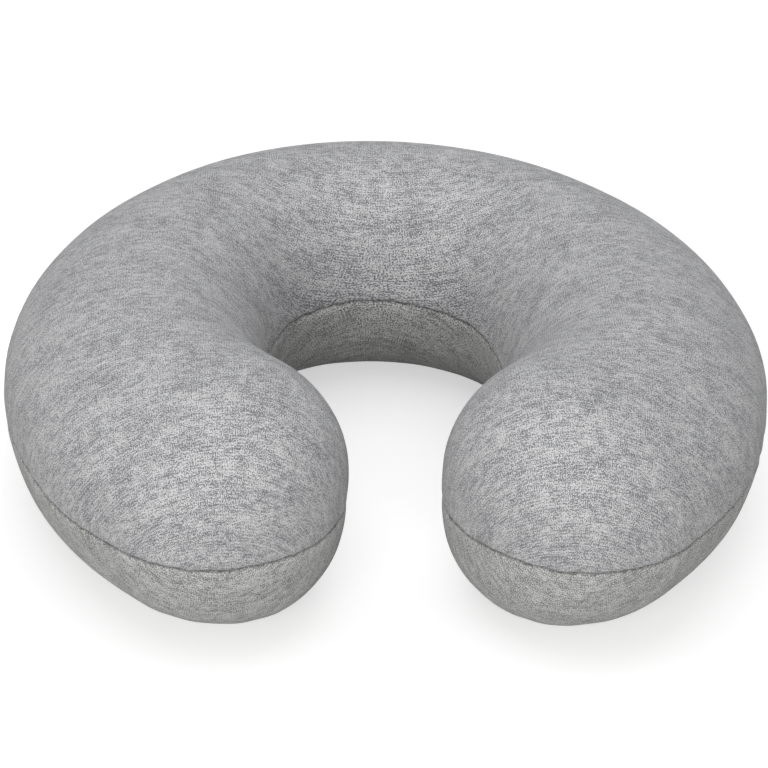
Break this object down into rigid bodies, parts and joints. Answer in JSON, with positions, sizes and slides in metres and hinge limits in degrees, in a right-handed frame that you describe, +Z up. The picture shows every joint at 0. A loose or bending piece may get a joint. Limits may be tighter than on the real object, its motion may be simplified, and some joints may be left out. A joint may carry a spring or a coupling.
{
  "type": "u-shaped neck pillow",
  "caption": "U-shaped travel neck pillow: moulded foam core in a sewn liner and a zipped velour cover, with a sliding zip slider and a swinging pull.",
  "frame": {"origin": "centre of the bounding box in plan, on the surface that the pillow lies on", "axes": "+Z up; +Y towards the closed back of the U; the arms point towards -Y, and +X is to the right seen from the open end"},
  "size_m": [0.3, 0.287, 0.099],
  "materials": {
    "cover_velour": "heathered short-pile velour",
    "overlock_thread": "spun polyester thread",
    "liner_cloth": "plain knitted cloth",
    "liner_thread": "spun polyester thread",
    "memory_foam": "moulded slow-recovery foam with a skin",
    "zip_tape": "woven polyester tape",
    "zip_coil": "nylon monofilament",
    "zip_stop": "moulded nylon",
    "stitching": "spun polyester thread",
    "slider_metal": "satin paint on zinc",
    "label_cloth": "satin woven ribbon, blank"
  },
  "bodies": {
    "pillow": {"foam_core": "memory_foam", "liner_upper": "liner_cloth", "liner_lower": "liner_cloth", "liner_seam_thread": "liner_thread", "cover_top_panel": "cover_velour", "cover_bottom_panel": "cover_velour", "cover_overlock_thread": "overlock_thread", "cover_seam_thread": "overlock_thread", "zip_tape_upper": "zip_tape", "zip_tape_lower": "zip_tape", "zip_coil_upper": "zip_coil", "zip_coil_lower": "zip_coil", "zip_stitching_upper": "stitching", "zip_stitching_lower": "stitching", "zip_top_stops": "zip_stop", "zip_bottom_stop": "zip_stop", "care_label": "label_cloth"},
    "zip_slider": {"slider_body": "slider_metal"},
    "zip_pull": {"pull_tab": "slider_metal"}
  },
  "joints": [
    {"name": "zip_slide", "type": "hinge", "parent": "pillow", "child": "zip_slider", "pos_m": [0, -0.00103, 0.043], "axis": [0, 0, -1], "range_deg": [0, 78], "deforming": ["zip_coil_upper", "zip_coil_lower"]},
    {"name": "pull_swing", "type": "hinge", "parent": "zip_slider", "child": "zip_pull", "pos_m": [-0.09286, 0.11277, 0.043], "axis": [0, 0, 1], "range_deg": [0, 175]}
  ]
}
